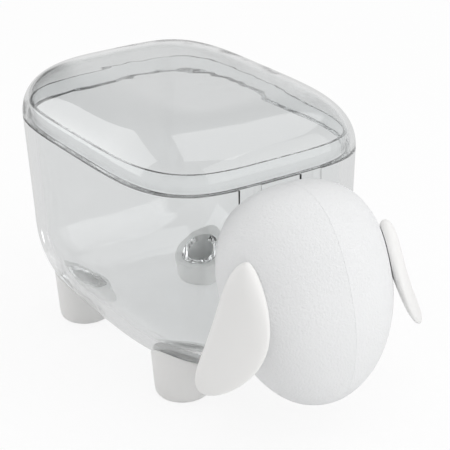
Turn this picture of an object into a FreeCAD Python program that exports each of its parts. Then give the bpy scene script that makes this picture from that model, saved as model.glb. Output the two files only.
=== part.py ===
import FreeCAD, Part
import math
import os

# Lidded box shaped like a standing lamb, for cotton swabs. Millimetres, +Z up, the head towards -Y.
# A clear tub stands on four white legs and takes a clear lid. The white head hangs on the tub's front
# wall by a bracket. Everything is drawn about the middle of the tub, on the surface it stands on, and
# moved at the end so that the origin is under the middle of the whole object's bounding box.

V = FreeCAD.Vector
UP = V(0, 0, 1)

# ---- driving dimensions, mm ----
# tub: outside, at the seam with the lid
HALF_WIDTH = 35.0
HALF_LENGTH = 47.7
RIM_Z = 64.6
RIM_POWER = 4.1            # squareness of the outline at the rim: 2 is an ellipse
FLOOR_POWER = 2.0          # and at the flat underside
DRAFT = 0.035              # how far the wall leans in, per mm of depth
UNDERSIDE_Z = 7.2
CORNER_RUN = 21.0          # bottom rounding, measured across and up
CORNER_RISE = 27.7
CORNER_POWER = 2.5
TUB_WALL = 3.0
COLLAR_HEIGHT = 5.0        # collar that stands above the seam, inside the lid

# lid: a dome, flat only in the middle
LID_HEIGHT = 15.3
LID_ROUND = 20.0           # how far the rounding runs in
LID_POWER = 2.26           # squareness of its profile
LID_WALL = 1.1
LID_GAP = 0.3              # between the lid and the collar's top
HEAD_GAP = 0.3             # between the head and the tub or the lid

# legs
LEG_INSET_X = 15.1         # from the tub's side to the leg's axis
LEG_INSET_Y = 19.6         # and from its end
LEG_FOOT_RADIUS = 7.8
LEG_TAPER = 0.053          # how much the radius grows per mm of height
LEG_EDGE = 2.0
LEG_FLOOR = 3.0
LEG_SEAT_GAP = 0.2
LEG_BOSS_RADIUS = 6.2
LEG_BOSS_WALL = 1.8
LEG_BOSS_FIT = 0.05
LEG_BOSS_END = 0.8         # from the boss's end to the leg's floor

# head: an egg of elliptical section that leans, chin forwards
HEAD_REACH = 9.8           # centre, ahead of the tub's front
HEAD_DROP = 28.5           # and below the seam
HEAD_LEAN = 21.2
HEAD_HALF_HEIGHT = 29.1
HEAD_HALF_WIDTH = 24.0
HEAD_FRONT = 20.8
HEAD_BACK = 9.8
HEAD_CROWN_POWER = 2.5     # squareness of the upper half's profile
HEAD_CHIN_POWER = 2.0
HEAD_SWELL = 0.066         # the upper half is this much fuller, the lower this much slimmer
HEAD_WALL = 2.0
HEAD_PIN_RADIUS = 1.5
HEAD_PIN_LENGTH = 4.0
HEAD_PIN_FIT = 0.05
HEAD_PIN_WALL = 1.7
HEAD_PINS = ((-7.0, 19.0), (-10.0, -6.0), (-4.0, -21.0))   # (back, up) in the head's own leaning axes

# bracket between the head and the tub: two dovetail rails on a plate
RAIL_X = 9.4
RAIL_WIDTH = 6.1
RAIL_FLARE = 0.35          # how far each side of the dovetail spreads
RAIL_DEPTH = 0.7
RAIL_DROP = 14.6           # from the seam to the rails' foot
RAIL_FIT = 0.1
NECK_DROP = 6.6            # from the seam to the top of the rails and the necks
NECK_FIT = 0.3             # round the necks, in the head
PLATE_THICKNESS = 2.0
PLATE_MARGIN = 0.6         # of the plate beyond the rails
PLATE_DROP = 3.0           # of the plate below the rails
PLATE_FIT = 0.1

# ears
EAR_SINK = 2.7             # root, in from the head's side
EAR_AHEAD = 5.7            # ahead of the head's centre
EAR_RISE = 17.0            # and above it
EAR_TURN = 31.8            # of the broad face, from straight out towards the front
EAR_LEAN = 13.2            # of the tip towards the back
EAR_LENGTH = 33.8
EAR_HALF_WIDTH = 7.7
EAR_HALF_THICKNESS = 1.6   # at the tip
EAR_SWELL = 0.9            # share by which the root is thicker
EAR_FLARE = 4.3            # how far the tip stands off, straight part
EAR_CURL = 7.1             # and curved part
EAR_BELLY = 0.9
EAR_BOW = -4.0
EAR_LOW_BIAS = 1.23        # above 1 moves the widest place towards the tip
EAR_SEAT_GAP = 0.1
EAR_PEG_AT = 0.24          # share of the ear's length
EAR_PEG_RADIUS = 2.2
EAR_PEG_LENGTH = 7.5
EAR_PEG_FIT = 0.05
EAR_BOSS_WALL = 1.6
EAR_BOSS_LENGTH = 6.0

# ---- how finely the curves are laid out ----
OUTLINE_POINTS = 48
WALL_STEPS = 3
CORNER_STEPS = 8
LID_STEPS = 8
EGG_STEPS = 14
EGG_POINTS = 32
EAR_STEPS = 12
EAR_POINTS = 24
FAR = 200.0


# ---- shapes shared by the tub and the lid ----
def smooth_loop(points):
    """Closed smooth wire through the points, evenly spaced in its own parameter."""
    curve = Part.BSplineCurve()
    spacing = [float(i) for i in range(len(points) + 1)]
    curve.interpolate(Points=points, PeriodicFlag=True, Parameters=spacing)
    return Part.Wire(curve.toShape())


def outline(inset, power, z):
    """Superellipse at height z, that far inside the rim's outline."""
    points = []
    for i in range(OUTLINE_POINTS):
        turn = 2 * math.pi * i / OUTLINE_POINTS
        c = math.cos(turn)
        s = math.sin(turn)
        reach = (abs(c) ** power + abs(s) ** power) ** (-1 / power)
        points.append(V((HALF_WIDTH - inset) * c * reach, (HALF_LENGTH - inset) * s * reach, z))
    return smooth_loop(points)


def tub_form(offset, top):
    """Tub's outer form moved inwards by offset, up to the height top."""
    bend_z = UNDERSIDE_Z + CORNER_RISE
    bend_inset = DRAFT * (RIM_Z - bend_z) + offset
    levels = []
    for i in range(CORNER_STEPS, 0, -1):
        angle = math.pi / 2 * i / CORNER_STEPS
        across = 1 - math.cos(angle) ** (2 / CORNER_POWER) if i < CORNER_STEPS else 1
        down = math.sin(angle) ** (2 / CORNER_POWER)
        levels.append(outline(bend_inset + (CORNER_RUN - offset) * across,
                              RIM_POWER + (FLOOR_POWER - RIM_POWER) * across,
                              bend_z - (CORNER_RISE - offset) * down))
    for i in range(WALL_STEPS + 1):
        z = bend_z + (top - bend_z) * i / WALL_STEPS
        levels.append(outline(max(DRAFT * (RIM_Z - z), 0) + offset, RIM_POWER, z))
    return Part.makeLoft(levels, True, False)


def lid_inset(offset, up):
    """How far inside the rim the lid's form is at that height above the seam, moved inwards by offset."""
    rise = min(up / (LID_HEIGHT - offset), 1)
    across = 1 - (1 - rise ** LID_POWER) ** (1 / LID_POWER)
    return offset + (LID_ROUND - offset) * across


def lid_form(offset):
    """Lid's outer form moved inwards by offset, standing on the seam."""
    levels = []
    for i in range(LID_STEPS + 1):
        up = (LID_HEIGHT - offset) * math.sin(math.pi / 2 * i / LID_STEPS) ** (2 / LID_POWER)
        levels.append(outline(lid_inset(offset, up), RIM_POWER, RIM_Z + up))
    return Part.makeLoft(levels, True, False)


def straight_form(inset, low, high):
    """Upright block of the rim's outline, that far inside it."""
    return Part.makeLoft([outline(inset, RIM_POWER, low), outline(inset, RIM_POWER, high)], True, True)


def box_between(x0, x1, y0, y1, z0, z1):
    return Part.makeBox(x1 - x0, y1 - y0, z1 - z0, V(x0, y0, z0))


# ---- tub ----
def leg_places():
    return [(name, x * (HALF_WIDTH - LEG_INSET_X), y * (HALF_LENGTH - LEG_INSET_Y))
            for name, x, y in (("front_left", -1, -1), ("front_right", 1, -1),
                               ("rear_left", -1, 1), ("rear_right", 1, 1))]


def leg_boss(x, y, tub):
    """Boss that the leg is pressed onto, hollow below the tub's outer form."""
    low = LEG_FLOOR + LEG_BOSS_END
    height = UNDERSIDE_Z + CORNER_RISE - low
    bore = Part.makeCylinder(LEG_BOSS_RADIUS - LEG_BOSS_WALL, height, V(x, y, low)).cut(tub)
    return Part.makeCylinder(LEG_BOSS_RADIUS, height, V(x, y, low)).cut(bore)


def rail_section(x, fit, z):
    """Dovetail outline about x: narrow at the wall's face, wide inside the wall."""
    face = -HALF_LENGTH
    narrow = RAIL_WIDTH / 2 + fit
    wide = narrow + RAIL_FLARE
    depth = RAIL_DEPTH + fit
    return [V(x - narrow, face, z), V(x + narrow, face, z),
            V(x + wide, face + depth, z), V(x - wide, face + depth, z)]


def prism(points, height):
    return Part.Face(Part.makePolygon(points + points[:1])).extrude(UP * height)


def make_tub():
    """Rounded tub with a collar for the lid, four bosses for the legs and two grooves for the bracket."""
    form = tub_form(0, RIM_Z)
    collar_inset = lid_inset(LID_WALL, COLLAR_HEIGHT) + LID_GAP
    body = form.fuse(straight_form(collar_inset, RIM_Z - TUB_WALL, RIM_Z + COLLAR_HEIGHT))
    for _, x, y in leg_places():
        body = body.fuse(leg_boss(x, y, form))
    body = body.cut(tub_form(TUB_WALL, RIM_Z + COLLAR_HEIGHT))
    for side in (-1, 1):
        section = rail_section(side * RAIL_X, RAIL_FIT, RIM_Z - RAIL_DROP - RAIL_FIT)
        body = body.cut(prism(section, RAIL_DROP + RAIL_FIT))
    return body


def make_lid():
    """Dome of one thickness that stands on the tub's shoulder, round the collar."""
    return lid_form(0).cut(lid_form(LID_WALL))


def make_leg(x, y):
    """Tapered leg with a socket for its boss, cut to the tub's underside."""
    height = UNDERSIDE_Z + CORNER_RISE
    leg = Part.makeCone(LEG_FOOT_RADIUS, LEG_FOOT_RADIUS + LEG_TAPER * height, height, V(x, y, 0))
    foot = [edge for edge in leg.Edges if edge.BoundBox.ZMax < LEG_EDGE]
    leg = leg.makeFillet(LEG_EDGE, foot)
    leg = leg.cut(Part.makeCylinder(LEG_BOSS_RADIUS + LEG_BOSS_FIT, height, V(x, y, LEG_FLOOR)))
    return leg.cut(tub_form(-LEG_SEAT_GAP, RIM_Z))


# ---- bracket ----
def plate_back():
    """Where the plate's back face lies, inside the head's back wall."""
    return -HALF_LENGTH - HEAD_GAP - HEAD_WALL - PLATE_FIT


def neck_slots(fit):
    """The two necks that join the rails to the plate, through the head's back wall."""
    half = RAIL_WIDTH / 2 + fit
    return [box_between(side * RAIL_X - half, side * RAIL_X + half,
                        plate_back() - PLATE_THICKNESS / 2, -HALF_LENGTH + RAIL_DEPTH,
                        RIM_Z - RAIL_DROP - fit, RIM_Z - NECK_DROP + fit)
            for side in (-1, 1)]


def make_bracket():
    """Plate inside the head, two necks, and two dovetail rails in the tub's front wall."""
    reach = RAIL_X + RAIL_WIDTH / 2 + PLATE_MARGIN
    bracket = box_between(-reach, reach, plate_back() - PLATE_THICKNESS, plate_back(),
                          RIM_Z - RAIL_DROP - PLATE_DROP, RIM_Z - NECK_DROP)
    for neck in neck_slots(0):
        bracket = bracket.fuse(neck)
    for side in (-1, 1):
        section = rail_section(side * RAIL_X, 0, RIM_Z - RAIL_DROP)
        bracket = bracket.fuse(prism(section, RAIL_DROP - NECK_DROP))
    return bracket


# ---- head ----
def head_place(forward, up):
    """Point of the mid-plane, from the head's centre in the head's own leaning axes."""
    lean = math.radians(HEAD_LEAN)
    return (-HALF_LENGTH - HEAD_REACH + forward * math.cos(lean) + up * math.sin(lean),
            RIM_Z - HEAD_DROP - forward * math.sin(lean) + up * math.cos(lean))


def egg(inset):
    """Head's outer form moved inwards by inset: ellipses stacked along the leaning axis, closed by points."""
    rings = []
    for i in range(EGG_STEPS + 1):
        s = -math.cos(math.pi * i / EGG_STEPS)
        up = s * (HEAD_HALF_HEIGHT - inset)
        if i in (0, EGG_STEPS):
            rings.append(Part.Vertex(V(0, *head_place(0, up))))
            continue
        power = HEAD_CROWN_POWER if s > 0 else HEAD_CHIN_POWER
        radius = (1 - abs(s) ** power) ** (1 / power) * (1 + HEAD_SWELL * s)
        points = []
        for j in range(EGG_POINTS):
            turn = 2 * math.pi * j / EGG_POINTS
            depth = HEAD_FRONT if math.sin(turn) < 0 else HEAD_BACK
            points.append(V((HEAD_HALF_WIDTH - inset) * radius * math.cos(turn),
                            *head_place((depth - inset) * radius * math.sin(turn), up)))
        rings.append(smooth_loop(points))
    return Part.makeLoft(rings, True, False)


def head_pins(radius, x0, x1):
    """Rods across the head at each pin, from x0 to x1."""
    rods = []
    for forward, up in HEAD_PINS:
        y, z = head_place(forward, up)
        rods.append(Part.makeCylinder(radius, x1 - x0, V(x0, y, z), V(1, 0, 0)))
    return rods


def ear_axes(side):
    turn = math.radians(EAR_TURN)
    lean = math.radians(EAR_LEAN)
    out = V(math.cos(turn), -math.sin(turn), 0)
    back = V(math.sin(turn), math.cos(turn), 0)
    down = back * math.sin(lean) - UP * math.cos(lean)
    across = back * math.cos(lean) + UP * math.sin(lean)
    return [V(side * v.x, v.y, v.z) for v in (out, down, across)]


def ear_spine(side, t):
    out, down, across = ear_axes(side)
    flare = EAR_FLARE * t + EAR_CURL * t * t + EAR_BELLY * math.sin(math.pi * t)
    root = V(side * (HEAD_HALF_WIDTH - EAR_SINK), -HALF_LENGTH - HEAD_REACH - EAR_AHEAD,
             RIM_Z - HEAD_DROP + EAR_RISE)
    bow = EAR_BOW * math.sin(math.pi * t ** EAR_LOW_BIAS)
    return root + down * (EAR_LENGTH * t) + out * flare + across * bow


def ear_half_thickness(t):
    return EAR_HALF_THICKNESS * (1 + EAR_SWELL * (1 - t) ** 2) * math.sqrt(1 - (2 * t - 1) ** 4)


def ear_peg(side, radius, start, end):
    """Rod from the ear into the head, between two distances inwards from the ear's middle surface."""
    out = ear_axes(side)[0]
    return Part.makeCylinder(radius, end - start, ear_spine(side, EAR_PEG_AT) - out * start, out * -1)


def make_ear(side, head):
    """Curved leaf with a small flat at each end and a peg, cut back to the head's surface."""
    out, _, across = ear_axes(side)
    sections = []
    for i in range(1, EAR_STEPS):
        t = (1 - math.cos(math.pi * i / EAR_STEPS)) / 2
        low = t ** EAR_LOW_BIAS
        half_width = EAR_HALF_WIDTH * math.sqrt(4 * low * (1 - low))
        half_thick = ear_half_thickness(t)
        points = []
        for j in range(EAR_POINTS):
            turn = 2 * math.pi * j / EAR_POINTS
            points.append(ear_spine(side, t) + across * (half_width * math.cos(turn))
                          + out * (half_thick * math.sin(turn)))
        sections.append(smooth_loop(points))
    blade = Part.makeLoft(sections, True, False)
    return blade.cut(head).fuse(ear_peg(side, EAR_PEG_RADIUS, 0, EAR_PEG_LENGTH))


def make_head_shells():
    """The egg as two hollow halves: the left one has the pins, the right one the holes for them."""
    top = RIM_Z + LID_HEIGHT
    outer = egg(0).cut(tub_form(-HEAD_GAP, top))
    shell = outer.cut(egg(HEAD_WALL).cut(tub_form(-HEAD_GAP - HEAD_WALL, top)))
    for neck in neck_slots(NECK_FIT):
        shell = shell.cut(neck)
    hole_end = EAR_PEG_LENGTH + EAR_PEG_FIT
    boss_end = ear_half_thickness(EAR_PEG_AT) + HEAD_WALL + EAR_BOSS_LENGTH
    shells = []
    for side in (-1, 1):
        x0 = min(0, side * FAR)
        x1 = max(0, side * FAR)
        half = shell.common(box_between(x0, x1, -FAR, FAR, -FAR, FAR))
        for rod in head_pins(HEAD_PIN_RADIUS + HEAD_PIN_WALL, x0, x1):
            half = half.fuse(rod.common(outer))
        half = half.fuse(ear_peg(side, EAR_PEG_RADIUS + EAR_BOSS_WALL, 0, boss_end).common(outer))
        half = half.cut(ear_peg(side, EAR_PEG_RADIUS + EAR_PEG_FIT, -EAR_LENGTH, hole_end))
        shells.append(half)
    for pin in head_pins(HEAD_PIN_RADIUS, -HEAD_PIN_LENGTH, HEAD_PIN_LENGTH):
        shells[0] = shells[0].fuse(pin)
    for hole in head_pins(HEAD_PIN_RADIUS + HEAD_PIN_FIT, 0, HEAD_PIN_LENGTH + HEAD_PIN_WALL / 2):
        shells[1] = shells[1].cut(hole)
    return shells


# ---- the whole object ----
nodes = {"tub": make_tub(), "lid": make_lid()}
for place, leg_x, leg_y in leg_places():
    nodes["leg_" + place] = make_leg(leg_x, leg_y)
nodes["head_left_shell"], nodes["head_right_shell"] = make_head_shells()
nodes["neck_bracket"] = make_bracket()
head_clear = egg(-EAR_SEAT_GAP)
nodes["ear_left"] = make_ear(-1, head_clear)
nodes["ear_right"] = make_ear(1, head_clear)

front = nodes["head_left_shell"].optimalBoundingBox().YMin
shift = V(0, -(front + HALF_LENGTH) / 2, 0)
os.makedirs("parts", exist_ok=True)
for node, shape in nodes.items():
    shape.translate(shift)
    shape.exportStep("parts/" + node + ".step")
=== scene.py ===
import bmesh
import bpy
import numpy as np
from mathutils import Matrix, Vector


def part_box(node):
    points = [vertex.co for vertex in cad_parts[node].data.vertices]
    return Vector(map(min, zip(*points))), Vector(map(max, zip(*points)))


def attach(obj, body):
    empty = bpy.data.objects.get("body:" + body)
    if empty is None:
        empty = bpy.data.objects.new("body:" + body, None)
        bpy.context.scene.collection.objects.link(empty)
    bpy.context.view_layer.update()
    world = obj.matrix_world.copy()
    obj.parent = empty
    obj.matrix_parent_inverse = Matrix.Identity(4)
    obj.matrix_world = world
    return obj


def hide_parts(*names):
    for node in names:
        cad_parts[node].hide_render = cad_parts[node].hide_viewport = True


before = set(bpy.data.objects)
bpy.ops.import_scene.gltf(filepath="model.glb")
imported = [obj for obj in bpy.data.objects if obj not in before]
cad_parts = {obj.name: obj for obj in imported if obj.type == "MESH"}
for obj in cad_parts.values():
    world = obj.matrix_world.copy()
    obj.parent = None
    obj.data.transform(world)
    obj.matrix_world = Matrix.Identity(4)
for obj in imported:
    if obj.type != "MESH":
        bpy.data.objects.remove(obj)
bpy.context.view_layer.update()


# --------------------------------------------------------------------------------------------------
# Tub: a clear polystyrene box, moulded in one with a thin collar that takes the lid, four short
# bosses for the legs under its rounded lower corners, and two dovetail grooves in the front wall
# for the bracket. Sizes are in millimetres about the tub's middle, and the meshes are in metres.
MM = 0.001
HALF_WIDTH = 35.0           # at the rim, as is the half length
HALF_LENGTH = 47.7
RIM_Z = 64.6                # the seam between the tub and the lid
RIM_POWER = 4.1             # squareness of the plan at the rim: 2 is an ellipse
FLOOR_POWER = 2.0           # and at the flat underside
DRAFT = 0.035               # lean of the walls, per millimetre of depth
UNDERSIDE_Z = 7.2
CORNER_RUN = 21.0           # lower rounding, measured inwards and upwards
CORNER_RISE = 27.7
CORNER_POWER = 2.5          # squareness of its profile
TUB_WALL = 3.0
COLLAR_HEIGHT = 5.0
COLLAR_INSET = 2.21         # from the tub's outside to the collar's
SEAM_GAP = 0.1              # air between the tub's shoulder and the lid
EDGE = 0.15                 # rounding of the moulded edges
EDGE_HOLD = 0.06            # straight at each end of a rounding
BEND_Z = UNDERSIDE_Z + CORNER_RISE
BEND_INSET = DRAFT * (RIM_Z - BEND_Z)
LEG_X = 19.9                # axes of the legs and their bosses
LEG_Y = 28.1
BOSS_RADIUS = 6.2
BOSS_WALL = 1.8
BOSS_Z = 3.8                # lower end of a boss
RAIL_X = 9.4                # middles of the bracket's rails and the grooves they slide in
RAIL_WIDTH = 6.1
RAIL_FLARE = 0.35           # how far each side of the dovetail spreads
RAIL_DEPTH = 0.7
RAIL_DROP = 14.6            # from the seam to the rails' foot
RAIL_FIT = 0.1
GROOVE_BEYOND = 1.0         # how far a groove's cutter stands out of the wall and over the rim
CREASE = np.radians(32)     # a sharper turn than this is shaded as an edge
WELD = 2e-6                 # metres within which points are one
HALVINGS = 40
ROUND = 240                 # points round the tub and the lid
LEG_ROUND = 96              # and round a leg
PLASTIC_TINT = (0.965, 0.975, 0.977, 1)
PLASTIC_IOR = 1.52
PLASTIC_SHADOW = (0.95, 0.955, 0.955, 1)    # what a lamp's light keeps as it passes a wall
WAVE_SIZE = 9.0             # faint waves of the moulding
WAVE_DEPTH = 0.05
PLASTIC_ROUGH = 0.004
SPECK_SIZE = 0.9            # specks that are a little less polished
SPECK_ROUGH = 0.02
tub_low, tub_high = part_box("tub")
MIDDLE = np.array([0, (tub_low.y + tub_high.y) / 2, 0])


def turns(points):
    """Angles evenly once round."""
    return np.linspace(0, 2 * np.pi, points, endpoint=False)


def swept(angle, power):
    """Shares run inwards and along a superellipse quarter: 1 - cos^(2/power) and sin^(2/power)."""
    return 1 - np.maximum(np.cos(angle), 0) ** (2 / power), np.sin(angle) ** (2 / power)


def halve(low, high, beyond):
    """Where a condition turns true between low and high, by halving."""
    for _ in range(HALVINGS):
        middle = (low + high) / 2
        over = beyond(middle)
        high, low = np.where(over, middle, high), np.where(over, low, middle)
    return low


def outline(inset, power, z, scale):
    """Rings of a superellipse |x/a|^p + |y/b|^p = 1 at height z, where a and b are the rim's half
    sizes less inset. The turn is even in the scaled plane, and scale shrinks a ring towards its
    middle."""
    rows = np.broadcast_arrays(inset, power, z, scale)
    inset, power, z, scale = (np.atleast_1d(row)[:, None] for row in rows)
    turn = turns(ROUND)[None, :]
    c, s = np.cos(turn), np.sin(turn)
    reach = (np.abs(c) ** power + np.abs(s) ** power) ** (-1 / power) * scale
    return np.stack([(HALF_WIDTH - inset) * c * reach, (HALF_LENGTH - inset) * s * reach,
                     z + 0 * c], -1)


def corner(offset, angle):
    """Inset, power and height along the tub's lower rounding, moved inwards by offset: a quarter of
    a superellipse from the wall (angle 0) to the flat underside (a right angle), while the plan
    turns into an ellipse."""
    across, down = swept(angle, CORNER_POWER)
    return (BEND_INSET + offset + (CORNER_RUN - offset) * across,
            RIM_POWER + (FLOOR_POWER - RIM_POWER) * across,
            BEND_Z - (CORNER_RISE - offset) * down)


def quarter(inset, z, di, dz, steps=6):
    """Quarter circle of an edge, from inset, z to inset + di, z + dz, that starts upright. A short
    straight at each end keeps the shading of the faces beside it flat."""
    a = np.linspace(0, np.pi / 2, steps)
    last_inset, first_z = inset + di + np.sign(di) * EDGE_HOLD, z - np.sign(dz) * EDGE_HOLD
    return np.stack([np.r_[inset, inset + di * (1 - np.cos(a)), last_inset],
                     np.r_[first_z, z + dz * np.sin(a), z + dz]])


def underside(x, y, offset):
    """Height of the tub's underside over x, y, moved inwards by offset: the rounding's angle is
    halved in on until the plan there passes through the point."""
    def outside(angle):
        inset, power, _ = corner(offset, angle)
        return (np.abs(x / (HALF_WIDTH - inset)) ** power
                + np.abs(y / (HALF_LENGTH - inset)) ** power) > 1
    return corner(offset, halve(np.zeros_like(x), np.full_like(x, np.pi / 2), outside))[2]


def solid(name, rings, ring_closed=False):
    """Mesh object from rings of points (ring, point, xyz) in millimetres: each ring is closed, end
    rings that shrink to a point or a line are merged, and with ring_closed the last ring joins the
    first."""
    m, n = rings.shape[:2]
    i = np.arange(m if ring_closed else m - 1)[:, None] * n
    j = np.arange(n)[None, :]
    k = (j + 1) % n
    up = (i + n) % (m * n)
    quads = np.stack([i + j, i + k, up + k, up + j], -1).reshape(-1, 4)
    mesh = bpy.data.meshes.new(name)
    mesh.vertices.add(m * n)
    mesh.vertices.foreach_set(
        "co", (rings.reshape(-1, 3) * MM + MIDDLE).astype(np.float32).ravel())
    mesh.loops.add(quads.size)
    mesh.loops.foreach_set("vertex_index", quads.ravel())
    mesh.polygons.add(len(quads))
    mesh.polygons.foreach_set("loop_start", np.arange(0, quads.size, 4))
    mesh.update(calc_edges=True)
    grid = bmesh.new()
    grid.from_mesh(mesh)
    bmesh.ops.remove_doubles(grid, verts=grid.verts, dist=WELD)
    if grid.calc_volume(signed=True) < 0:
        bmesh.ops.reverse_faces(grid, faces=grid.faces)
    grid.to_mesh(mesh)
    grid.free()
    obj = bpy.data.objects.new(name, mesh)
    bpy.context.scene.collection.objects.link(obj)
    return obj


def carve(obj, operation, *tools):
    """Adds the tools to the object or cuts them out of it, and drops them."""
    for tool in tools:
        step = obj.modifiers.new("carve", "BOOLEAN")
        step.operation = operation
        step.solver = "EXACT"
        step.object = tool
    graph = bpy.context.evaluated_depsgraph_get()
    old = obj.data
    mesh = bpy.data.meshes.new_from_object(obj.evaluated_get(graph))
    obj.modifiers.clear()
    obj.data = mesh
    bpy.data.meshes.remove(old)
    for tool in tools:
        bpy.data.objects.remove(tool)
    return obj


def finish_piece(obj, body, slot, material, *nodes):
    """Smooth shading up to the crease angle, the material, the body the piece moves with, and the
    hidden CAD nodes that it stands in for.
    """
    obj.data.shade_smooth()
    obj.data.set_sharp_from_angle(angle=CREASE)
    obj.data.materials.clear()
    obj.data.materials.append(material)
    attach(obj, body)
    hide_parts(*nodes)


class Link:
    """A socket in a material. + - and * on values add Math nodes."""

    def __init__(self, finish, socket):
        self.finish = finish
        self.socket = socket

    def math(self, operation, a, b):
        return self.finish.node("Math", {"operation": operation}, {0: a, 1: b})

    def __add__(self, other):
        return self.math("ADD", self, other)

    def __sub__(self, other):
        return self.math("SUBTRACT", self, other)

    def __rsub__(self, other):
        return self.math("SUBTRACT", other, self)

    def __mul__(self, other):
        return self.math("MULTIPLY", self, other)

    __radd__ = __add__
    __rmul__ = __mul__

    def larger(self, other):
        """The larger of the two."""
        return self.math("MAXIMUM", self, other)


class Finish:
    """A material or the world, with one method that makes any node."""

    def __init__(self, owner):
        self.owner = owner
        owner.use_nodes = True
        self.tree = owner.node_tree
        self.tree.nodes.clear()
        kind = "OutputWorld" if isinstance(owner, bpy.types.World) else "OutputMaterial"
        self.output = self.tree.nodes.new("ShaderNode" + kind)

    def node(self, kind, settings=None, inputs=None, output=0):
        """Node of a type, with its settings first, then the values or links of its sockets."""
        made = self.tree.nodes.new("ShaderNode" + kind)
        for key, value in (settings or {}).items():
            setattr(made, key, value)
        for key, value in (inputs or {}).items():
            if isinstance(value, Link):
                self.tree.links.new(value.socket, made.inputs[key])
            else:
                made.inputs[key].default_value = value
        return Link(self, made.outputs[output])

    def show(self, shader):
        self.tree.links.new(shader.socket, self.output.inputs["Surface"])
        return self.owner

    def ray(self, kind):
        """1 for a ray of the given kind, and 0 for any other."""
        return self.node("LightPath", output="Is " + kind + " Ray")

    def noise(self, size, detail=2.0, rough=0.5):
        """Noise on the piece, whose lumps are about size millimetres across."""
        place = self.node("TexCoord", output="Object")
        return self.node("TexNoise", None, {"Vector": place, "Scale": 1 / (size * MM),
                                            "Detail": detail, "Roughness": rough})

    def bump(self, height, depth):
        """Normal for a height from 0 to 1 that stands for depth millimetres."""
        return self.node("Bump", None, {"Height": height, "Distance": depth * MM, "Strength": 1.0})


def clear_plastic():
    """Near colourless plastic with the faint waves of a moulding; lamps reach what is behind it."""
    finish = Finish(bpy.data.materials.new("clear_plastic"))
    waves = finish.noise(WAVE_SIZE, 1.0)
    specks = finish.noise(SPECK_SIZE, 3.0)
    surface = finish.node("BsdfPrincipled", None, {
        "Base Color": PLASTIC_TINT, "IOR": PLASTIC_IOR, "Transmission Weight": 1.0,
        "Roughness": specks * SPECK_ROUGH + PLASTIC_ROUGH,
        "Normal": finish.bump(waves, WAVE_DEPTH)})
    through = finish.node("BsdfTransparent", None, {"Color": PLASTIC_SHADOW})
    return finish.show(finish.node("MixShader", None,
                                   {0: finish.ray("Shadow"), 1: surface, 2: through}))


def bottom(offset):
    """Rings' inset, power, height and scale from the middle of the flat underside, moved inwards by
    offset, out and up the rounding to the wall."""
    inset, power, z = (np.pad(row, (len(flat), 0), "edge") for row in corner(offset, bend))
    return np.stack([inset, power, z, np.r_[flat, np.ones(len(bend))]])


CLEAR = clear_plastic()
shoulder = RIM_Z - SEAM_GAP / 2
collar_top = RIM_Z + COLLAR_HEIGHT - SEAM_GAP
flat = np.linspace(0, 1, 6)[:-1]                # shares from the middle of a flat to its edge
bend = np.linspace(np.pi / 2, 0, 30)
wall_z = np.linspace(BEND_Z, shoulder - EDGE, 12)[1:-1]
inner_z = np.linspace(RIM_Z, BEND_Z, 12)[:-1]
upper = np.concatenate([
    np.stack([DRAFT * (RIM_Z - wall_z), wall_z]),
    quarter(DRAFT * EDGE, shoulder - EDGE, EDGE, EDGE),
    quarter(COLLAR_INSET, shoulder + EDGE, -EDGE, -EDGE)[:, ::-1],
    quarter(COLLAR_INSET, collar_top - EDGE, EDGE, EDGE),
    quarter(TUB_WALL, collar_top - EDGE, -EDGE, EDGE)[:, ::-1],
    np.stack([TUB_WALL + DRAFT * (RIM_Z - inner_z), inner_z])], 1)
upper = np.stack([upper[0], np.full_like(upper[0], RIM_POWER), upper[1], np.ones_like(upper[0])])
tub = solid("tub_clear", outline(*np.concatenate([bottom(0), upper, bottom(TUB_WALL)[:, ::-1]], 1)))


def leg_ring(x, y, radius, z):
    """Circles about x, y. The radius and z are given for each ring, or for each of its points."""
    turn = turns(LEG_ROUND)
    return np.stack(np.broadcast_arrays(
        x + radius * np.cos(turn), y + radius * np.sin(turn), z), -1)


def boss(x, y):
    """Tube under a corner of the tub that ends inside the wall: its top follows the underside."""
    inner = BOSS_RADIUS - BOSS_WALL
    ring = leg_ring(x, y, np.array([[BOSS_RADIUS], [BOSS_RADIUS], [inner], [inner]]), BOSS_Z)
    ring[1:3, :, 2] = underside(ring[1:3, :, 0], ring[1:3, :, 1], 0.0) + TUB_WALL / 2
    return solid("boss", ring, ring_closed=True)


def groove(x):
    """Upright dovetail: a trapezium that widens into the wall, from a little outside its face."""
    narrow = RAIL_WIDTH / 2 + RAIL_FIT
    wide = narrow + RAIL_FLARE
    face, deep = -HALF_LENGTH, -HALF_LENGTH + RAIL_DEPTH + RAIL_FIT
    out = face - GROOVE_BEYOND
    loop = np.array([[x - narrow, out], [x - narrow, face], [x - wide, deep],
                     [x + wide, deep], [x + narrow, face], [x + narrow, out]])
    heights = (RIM_Z - RAIL_DROP - RAIL_FIT, RIM_Z + GROOVE_BEYOND)
    ends = [np.c_[0 * loop + loop.mean(0), np.full(6, z)] for z in heights]
    sides = [np.c_[loop, np.full(6, z)] for z in heights]
    return solid("groove", np.stack([ends[0], sides[0], sides[1], ends[1]]))


LEGS = {"front_left": (-LEG_X, -LEG_Y), "front_right": (LEG_X, -LEG_Y),
        "rear_left": (-LEG_X, LEG_Y), "rear_right": (LEG_X, LEG_Y)}
carve(tub, "UNION", *[boss(x, y) for x, y in LEGS.values()])
carve(tub, "DIFFERENCE", *[groove(x) for x in (-RAIL_X, RAIL_X)])
finish_piece(tub, "box", "clear_plastic", CLEAR, "tub")


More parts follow.
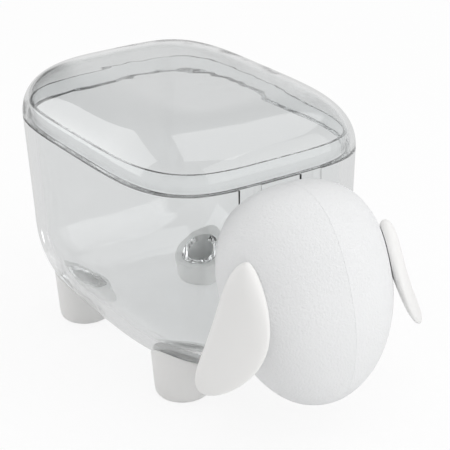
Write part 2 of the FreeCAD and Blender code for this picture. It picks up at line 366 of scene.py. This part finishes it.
# --------------------------------------------------------------------------------------------------
# Lid: a clear dome of the same plastic, of one thickness, rounded all the way up to a small flat
# middle. It stands on the tub's shoulder and drops over the collar, so it lifts straight off.
LID_HEIGHT = 15.3
LID_ROUND = 20.0            # how far the rounding runs in
LID_POWER = 2.26            # squareness of its profile
LID_WALL = 1.1
MOUTH_INSET = 0.01          # keeps the lid's edge within the tub's outline
MOUTH_ANGLE = 0.03          # where the inside of the dome takes over from the foot's rounding


def dome(offset, angle):
    """Inset and height along the lid's form, moved inwards by offset: a quarter of a superellipse
    from the seam (angle 0) to the flat middle (a right angle)."""
    across, rise = swept(angle, LID_POWER)
    return np.stack([offset + (LID_ROUND - offset) * across, RIM_Z + (LID_HEIGHT - offset) * rise])


mouth = RIM_Z + SEAM_GAP / 2
side = np.concatenate([
    dome(0, np.linspace(np.pi / 2, 0, 44)[:-1]),
    quarter(MOUTH_INSET, mouth + EDGE, EDGE, -EDGE),
    quarter(LID_WALL, mouth + EDGE, -EDGE, -EDGE)[:, ::-1],
    dome(LID_WALL, np.linspace(MOUTH_ANGLE, np.pi / 2, 44))], 1)
scale = np.r_[flat, np.ones(side.shape[1]), flat[::-1]]
side = np.pad(side, ((0, 0), (len(flat), len(flat))), "edge")
lid = solid("lid_clear", outline(side[0], RIM_POWER, side[1], scale))
finish_piece(lid, "lid", "clear_plastic", CLEAR, "lid")


# --------------------------------------------------------------------------------------------------
# Bracket: a white plate inside the head with two necks and two dovetail rails that slide down into
# the tub's grooves. It is a plain injection moulding.
WHITE_IOR = 1.46
PATCH_SIZE = 14.0           # patches where the white and its sheen change a little
PATCH_SHADE = 0.975
SHEEN_SPREAD = 0.1


def white_plastic(name, colour, rough, grain_size, grain_depth):
    """White plastic: a grain of the given size and depth, and a slightly uneven sheen."""
    finish = Finish(bpy.data.materials.new(name))
    patches = finish.noise(PATCH_SIZE)
    grain = finish.noise(grain_size, 2.5, 0.55)
    tint = finish.node("Mix", {"data_type": "RGBA"}, {
        0: patches, 6: (*colour, 1), 7: (*[c * PATCH_SHADE for c in colour], 1)}, 2)
    surface = finish.node("BsdfPrincipled", None, {
        "Base Color": tint, "Roughness": patches * SHEEN_SPREAD + (rough - SHEEN_SPREAD / 2),
        "IOR": WHITE_IOR, "Normal": finish.bump(grain, grain_depth)})
    return finish.show(surface)


SATIN = white_plastic("satin_white", (0.845, 0.84, 0.83), rough=0.42,
                      grain_size=0.35, grain_depth=0.004)
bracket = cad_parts["neck_bracket"]
bracket.data.materials.clear()
bracket.data.materials.append(SATIN)


# --------------------------------------------------------------------------------------------------
# Legs: four tapered white stubs with a rounded foot, each pressed onto one of the tub's bosses by
# a socket. The top of a leg is cut to the curve of the tub's underside, with a hair of air between.
FOOT_RADIUS = 7.8
LEG_TAPER = 0.053           # how much the radius grows per millimetre of height
FOOT_EDGE = 2.0             # rounding of the foot
TOP_EDGE = 0.35             # and of the top
LEG_FLOOR = 3.0             # bottom of the socket
SEAT_GAP = 0.2
SOCKET_RADIUS = 6.25
SEAT_WIDTH = 0.8            # level rim round the socket's mouth
FIRST_TOP_Z = 12.0          # first guess at a leg's height, mended in a few rounds


def leg(name, x, y):
    """Revolved profile whose top follows the underside: flat foot, rounded edge, taper, rounded
    top, seat, socket."""
    a = np.linspace(0, np.pi / 2, 10)
    flat_foot = np.linspace(0, FOOT_RADIUS - FOOT_EDGE, 5)[:-1]
    foot = np.r_[flat_foot, FOOT_RADIUS - FOOT_EDGE * (1 - np.sin(a))]
    foot_z = np.r_[0 * flat_foot, FOOT_EDGE * (1 - np.cos(a))]
    top_z = np.full((1, LEG_ROUND), FIRST_TOP_Z)
    for _ in range(6):
        rim = leg_ring(x, y, FOOT_RADIUS + LEG_TAPER * top_z, 0.0)
        top_z = underside(rim[..., 0], rim[..., 1], -SEAT_GAP)
    radius = FOOT_RADIUS + LEG_TAPER * top_z
    side_z = FOOT_EDGE + (top_z - TOP_EDGE - FOOT_EDGE) * np.linspace(0, 1, 14)[1:, None]
    a = np.linspace(0, np.pi / 2, 4)[1:, None]
    lip = leg_ring(x, y, radius - TOP_EDGE * (1 - np.cos(a)), 0.0)
    lip[..., 2] = underside(lip[..., 0], lip[..., 1], -SEAT_GAP) - TOP_EDGE * (1 - np.sin(a))
    seat = leg_ring(x, y, np.array([[SOCKET_RADIUS + SEAT_WIDTH], [SOCKET_RADIUS]]), 0.0)
    seat[..., 2] = underside(seat[..., 0], seat[..., 1], -SEAT_GAP)
    return solid(name, np.concatenate([
        leg_ring(x, y, foot[:, None], foot_z[:, None]),
        leg_ring(x, y, FOOT_RADIUS + LEG_TAPER * side_z, side_z),
        lip, seat,
        leg_ring(x, y, SOCKET_RADIUS * np.array([[1], [0.5], [0]]), LEG_FLOOR)]))


for place, (x, y) in LEGS.items():
    finish_piece(leg("leg_" + place + "_satin", x, y), "box", "trim_white", SATIN, "leg_" + place)


# --------------------------------------------------------------------------------------------------
# Head: an egg in two hollow halves of matt white plastic with a fine leathery grain, joined on a
# soft ridge down the middle. It leans back against the tub's front wall and is hollowed to fit it.
HEAD_REACH = 9.8            # centre, ahead of the tub's front
HEAD_DROP = 28.5            # and below the seam
HEAD_LEAN = np.radians(21.2)
HEAD_HALF_HEIGHT = 29.1
HEAD_HALF_WIDTH = 24.0
HEAD_FRONT = 20.8
HEAD_BACK = 9.8
CROWN_POWER = 2.5           # squareness of the upper half's profile
CHIN_POWER = 2.0            # and of the lower half's
SWELL = 0.066               # the crown is this much fuller, and the chin this much slimmer
HEAD_GAP = 0.3              # air between the head and the tub
HEAD_WALL = 2.0
RIDGE = 0.3                 # how far the ridge stands proud of the halves
RIDGE_RUN = 7.0             # how far it spreads to each side
RIDGE_FADE = 3.0            # how soon it dies out towards the crown and the chin
PART_GAP = 0.02             # half the gap between the halves
FAR = 40.0                  # farther back or forward than the head reaches
HEAD_Y = -HALF_LENGTH - HEAD_REACH
HEAD_Z = RIM_Z - HEAD_DROP


def head_point(x, forward, rise):
    """Point from the head's own leaning axes."""
    return np.stack(np.broadcast_arrays(
        x, HEAD_Y + forward * np.cos(HEAD_LEAN) + rise * np.sin(HEAD_LEAN),
        HEAD_Z - forward * np.sin(HEAD_LEAN) + rise * np.cos(HEAD_LEAN)), -1)


def bulge(share, power):
    """Half width of a superellipse at a share of its half height: (1 - |share|^p)^(1/p)."""
    return np.maximum(1 - np.abs(share) ** power, 0) ** (1 / power)


def egg(inset, level, turn):
    """Rings of two half ellipses, a deeper one in front, stacked along the leaning axis and scaled
    by the bulge at each level, fuller above. The halves dip by RIDGE (1 - (1 - x / run)^2)."""
    radius = bulge(level, np.where(level > 0, CROWN_POWER, CHIN_POWER)) * (1 + SWELL * level)
    depth = np.where(np.sin(turn) < 0, HEAD_FRONT, HEAD_BACK) - inset
    x = (HEAD_HALF_WIDTH - inset) * radius * np.cos(turn)
    dip = RIDGE * (1 - (1 - np.clip(x / RIDGE_RUN, 0, 1)) ** 2) * (inset == 0)
    grown = radius * depth - dip * np.clip(radius * RIDGE_FADE, 0, 1)
    return head_point(x, grown * np.sin(turn), level * (HEAD_HALF_HEIGHT - inset))


def egg_back(inset, level):
    """How far back the egg's own rear edge reaches at each level."""
    point = egg(inset, level, 0 * level + np.pi / 2)
    return ((point[..., 1] - HEAD_Y) * np.cos(HEAD_LEAN)
            - (point[..., 2] - HEAD_Z) * np.sin(HEAD_LEAN))


def tub_front(x, z, offset):
    """The tub's front wall, moved outwards by offset: y for each x and z."""
    down = np.clip((BEND_Z - z) / (CORNER_RISE + offset), 0, 1)
    inset, power, _ = corner(-offset, np.arcsin(down ** (CORNER_POWER / 2)))
    inset = np.where(z > BEND_Z, np.maximum(DRAFT * (RIM_Z - z), 0) - offset, inset)
    power = np.where(z > BEND_Z, RIM_POWER, power)
    return -(HALF_LENGTH - inset) * bulge(x / (HALF_WIDTH - inset), power)


def head_loops(inset, offset, rings=90, points=72, back=20):
    """Half loops of the egg from its front edge to its back edge: round the side, then along the
    tub's wall moved outwards by offset. The stack ends above where the front edge meets the
    wall."""
    def past(point):
        return point[..., 1] > tub_front(point[..., 0], point[..., 2], offset)
    crown = halve(np.array(0.0), np.array(1.0),
                  lambda share: past(egg(inset, share, np.array(-np.pi / 2))))
    level = (crown - 1) / 2 - (crown + 1) / 2 * np.cos(np.linspace(0, np.pi, rings))
    level = level[:, None]
    end = halve(0 * level - np.pi / 2, 0 * level + np.pi / 2,
                lambda turn: past(egg(inset, level, turn)))
    turn = -np.pi / 2 + (end + np.pi / 2) * np.linspace(0, 1, points)
    round_side = egg(inset, level, turn)
    rise = level * (HEAD_HALF_HEIGHT - inset)
    x = round_side[:, -1:, 0] * np.linspace(1, 0, back)
    limit = halve(x * 0 - FAR, x * 0 + FAR, lambda forward: past(head_point(x, forward, rise)))
    along_wall = head_point(x, np.minimum(limit, egg_back(inset, level)), rise)
    return np.concatenate([round_side, along_wall[:, 1:]], 1)


def half_head(name, side):
    """One half as a closed shell: the outer loop, then back along the inner one."""
    outer = head_loops(0.0, HEAD_GAP)
    inner = head_loops(HEAD_WALL, HEAD_GAP + HEAD_WALL)
    rings = np.concatenate([outer, inner[:, ::-1]], 1)
    rings[..., 0] = side * np.maximum(rings[..., 0], PART_GAP)
    return solid(name, rings)


MATT = white_plastic("grained_white", (0.805, 0.81, 0.815), rough=0.55,
                     grain_size=0.62, grain_depth=0.17)
for word, side in (("left", -1), ("right", 1)):
    finish_piece(half_head("head_" + word + "_grained", side), "box", "head_white", MATT,
                 "head_" + word + "_shell")


# --------------------------------------------------------------------------------------------------
# Ears: two curved white leaves, moulded smooth, that hang from the sides of the head and stand off
# at the tips. Each is held by a peg pressed into the head.
EAR_SINK = 2.7              # root, in from the head's side
EAR_AHEAD = 5.7             # ahead of the head's centre
EAR_RISE = 17.0             # and above it
EAR_TURN = np.radians(31.8)     # of the broad face, from straight out towards the front
EAR_LEAN = np.radians(13.2)     # of the tip towards the back
EAR_LENGTH = 33.8
EAR_HALF_WIDTH = 7.7
EAR_HALF_THICKNESS = 1.6    # at the tip
EAR_SWELL = 0.9             # share by which the root is thicker
EAR_FLARE = 4.3             # how far the tip stands off, straight part
EAR_CURL = 7.1              # and curved part
EAR_BELLY = 0.9
EAR_BOW = -4.0
EAR_LOW_BIAS = 1.23         # above 1 moves the widest place towards the tip
EAR_END = 0.983             # share of the length at which the tip is closed
EAR_SEAT_GAP = 0.1


def ear(name, side, steps=64, points=72):
    """Ellipses along a curved spine that stands off by flare t + curl t^2 + belly sin(pi t). With
    l = t^bias the half width is sqrt(4 l (1 - l)) and the spine bows by sin(pi l); the half
    thickness is (1 + swell (1 - t)^2) sqrt(1 - (2 t - 1)^4)."""
    mirror = np.array([side, 1, 1])
    out = np.array([np.cos(EAR_TURN), -np.sin(EAR_TURN), 0]) * mirror
    back = np.array([np.sin(EAR_TURN), np.cos(EAR_TURN), 0]) * mirror
    up = np.array([0, 0, 1])
    down = back * np.sin(EAR_LEAN) - up * np.cos(EAR_LEAN)
    across = back * np.cos(EAR_LEAN) + up * np.sin(EAR_LEAN)
    root = np.array([side * (HEAD_HALF_WIDTH - EAR_SINK), HEAD_Y - EAR_AHEAD, HEAD_Z + EAR_RISE])
    share = ((1 - np.cos(np.linspace(0, np.pi, steps))) / 2)[:, None, None]
    t = share * EAR_END
    low = share ** EAR_LOW_BIAS
    spine = root + down * (EAR_LENGTH * t) + across * (EAR_BOW * np.sin(np.pi * low))
    spine = spine + out * (EAR_FLARE * t + EAR_CURL * t * t + EAR_BELLY * np.sin(np.pi * t))
    turn = turns(points)[None, :, None]
    half_width = EAR_HALF_WIDTH * np.sqrt(np.maximum(4 * low * (1 - low), 0))
    half_thick = EAR_HALF_THICKNESS * (1 + EAR_SWELL * (1 - t) ** 2)
    half_thick = half_thick * np.sqrt(np.maximum(1 - (2 * share - 1) ** 4, 0))
    return solid(name, spine + across * (half_width * np.cos(turn))
                 + out * (half_thick * np.sin(turn)))


def head_form():
    """The whole egg, grown by the ears' seat gap, to cut the ears back to."""
    level = -np.cos(np.linspace(0, np.pi, 90))[:, None]
    return solid("head_form", egg(-EAR_SEAT_GAP, level, turns(144)))


for word, side in (("left", -1), ("right", 1)):
    piece = carve(ear("ear_" + word + "_satin", side), "DIFFERENCE", head_form())
    finish_piece(piece, "box", "trim_white", SATIN, "ear_" + word)


# --------------------------------------------------------------------------------------------------
# Studio: a pale floor that runs out to white, a white surround that the clear plastic shows, and
# soft lamps from above, from behind on the left, and from the front.
FLOOR_HALF = 2.5            # metres
FLOOR_Z = -0.0002
PAPER = (0.93, 0.93, 0.93, 1)
FLOOR_OWN = 0.86            # share of the floor's look that is its own even white
FLOOR_MIRRORED = 0.69       # strength of that white in the clear plastic; the camera sees 1
SKY_LOW = 0.80              # strength of the surround in reflections, near the floor
SKY_HIGH = 0.28             # and overhead
SKY_RISE = (0.05, 0.75)     # heights on the unit sphere between which it changes
AMBIENT = 0.55              # strength of the surround as a light
CARD = (-0.09, 0.985, 0.14)     # towards a dark card behind the object, which the lid mirrors
CARD_EDGES = (0.87, 0.95)       # cosines from the card's middle between which it fades in
CARD_DARK = 0.80                # share of the surround that it takes away


def white_floor():
    """Pale paper that keeps a faint shadow: part of what is seen of it is its own even white."""
    finish = Finish(bpy.data.materials.new("floor_paper"))
    seen = finish.ray("Camera")
    share = seen.larger(finish.ray("Transmission")).larger(finish.ray("Glossy")) * FLOOR_OWN
    paper = finish.node("BsdfDiffuse", None, {"Color": PAPER})
    white = finish.node("Emission", None, {
        "Color": (1, 1, 1, 1), "Strength": seen * (1 - FLOOR_MIRRORED) + FLOOR_MIRRORED})
    return finish.show(finish.node("MixShader", None, {0: share, 1: paper, 2: white}))


floor = bpy.data.objects.new("floor", bpy.data.meshes.new("floor"))
floor.data.from_pydata([(x * FLOOR_HALF, y * FLOOR_HALF, FLOOR_Z)
                        for x, y in ((-1, -1), (1, -1), (1, 1), (-1, 1))], [], [(0, 1, 2, 3)])
floor.data.materials.append(white_floor())
bpy.context.scene.collection.objects.link(floor)

surround = Finish(bpy.data.worlds.new("surround"))
bpy.context.scene.world = surround.owner
camera_ray = surround.ray("Camera")
glossy_ray = surround.ray("Glossy")
mirror_ray = glossy_ray.larger(surround.ray("Transmission"))
way = surround.node("TexCoord", output="Generated")
height = surround.node("SeparateXYZ", None, {0: way}, 2)
sky = surround.node("MapRange", {"interpolation_type": "SMOOTHSTEP"}, {
    "Value": height, "From Min": SKY_RISE[0], "From Max": SKY_RISE[1],
    "To Min": SKY_LOW, "To Max": SKY_HIGH})
near = surround.node("VectorMath", {"operation": "DOT_PRODUCT"}, {0: way, 1: CARD}, "Value")
card = surround.node("MapRange", {"interpolation_type": "SMOOTHSTEP"}, {
    "Value": near, "From Min": CARD_EDGES[0], "From Max": CARD_EDGES[1],
    "To Min": 0.0, "To Max": CARD_DARK})
level = mirror_ray * sky * (1 - glossy_ray * card) + (1 - mirror_ray) * AMBIENT
surround.show(surround.node("Background", None, {
    "Color": (1, 1, 1, 1), "Strength": camera_ray.larger(level)}))


def standing(right, up, back, place):
    """Matrix of a lamp or camera at place, in metres, whose axes are right, up and back."""
    return (Matrix.Translation(place.tolist())
            @ Matrix(np.stack([right, up, back], 1).tolist()).to_4x4())


LAMP_AIM = np.array([0, 0, 0.04])
# Each lamp's place in metres, size in metres, power in watts, and whether gloss mirrors it.
LAMPS = {"lamp_top": ((0.3, -0.15, 1.25), 1.5, 6.0, True),
         "lamp_left": ((-0.85, 0.9, 0.5), 1.2, 4.5, True),
         "lamp_front": ((0.5, -1.15, 0.35), 1.5, 9.6, False)}
for name, (place, size, power, mirrored) in LAMPS.items():
    light = bpy.data.lights.new(name, "AREA")
    light.shape = "SQUARE"
    light.size = size
    light.energy = power
    lamp = bpy.data.objects.new(name, light)
    place = np.array(place)
    back = (place - LAMP_AIM) / np.linalg.norm(place - LAMP_AIM)
    right = np.cross([0, 0, 1], back)
    right = right / np.linalg.norm(right)
    lamp.matrix_world = standing(right, np.cross(back, right), back, place)
    lamp.visible_glossy = mirrored
    bpy.context.scene.collection.objects.link(lamp)

# Camera: a long lens from the front left, a little above the object.
AZIMUTH = np.radians(-32.665)
ELEVATION = np.radians(24.057)
ROLL = np.radians(-1.506)
DISTANCE = 430.72
ACROSS = 10.18
ABOVE = 31.65
LENS = 115.79
back = np.array([np.sin(AZIMUTH) * np.cos(ELEVATION), -np.cos(AZIMUTH) * np.cos(ELEVATION),
                 np.sin(ELEVATION)])
level_right = np.array([np.cos(AZIMUTH), np.sin(AZIMUTH), 0])
level_up = np.cross(back, level_right)
right = level_right * np.cos(ROLL) + level_up * np.sin(ROLL)
up = level_up * np.cos(ROLL) - level_right * np.sin(ROLL)
camera = bpy.data.objects.new("camera", bpy.data.cameras.new("camera"))
camera.data.lens = LENS
camera.data.sensor_width = 36.0
camera.data.clip_start = 0.01
place = (right * ACROSS + up * ABOVE + back * DISTANCE) * MM + MIDDLE
camera.matrix_world = standing(right, up, back, place)
bpy.context.scene.collection.objects.link(camera)
bpy.context.scene.camera = camera
bpy.context.scene.view_settings.view_transform = "Standard"
bpy.context.scene.cycles.max_bounces = 64
bpy.context.scene.cycles.glossy_bounces = 28
bpy.context.scene.cycles.transmission_bounces = 48
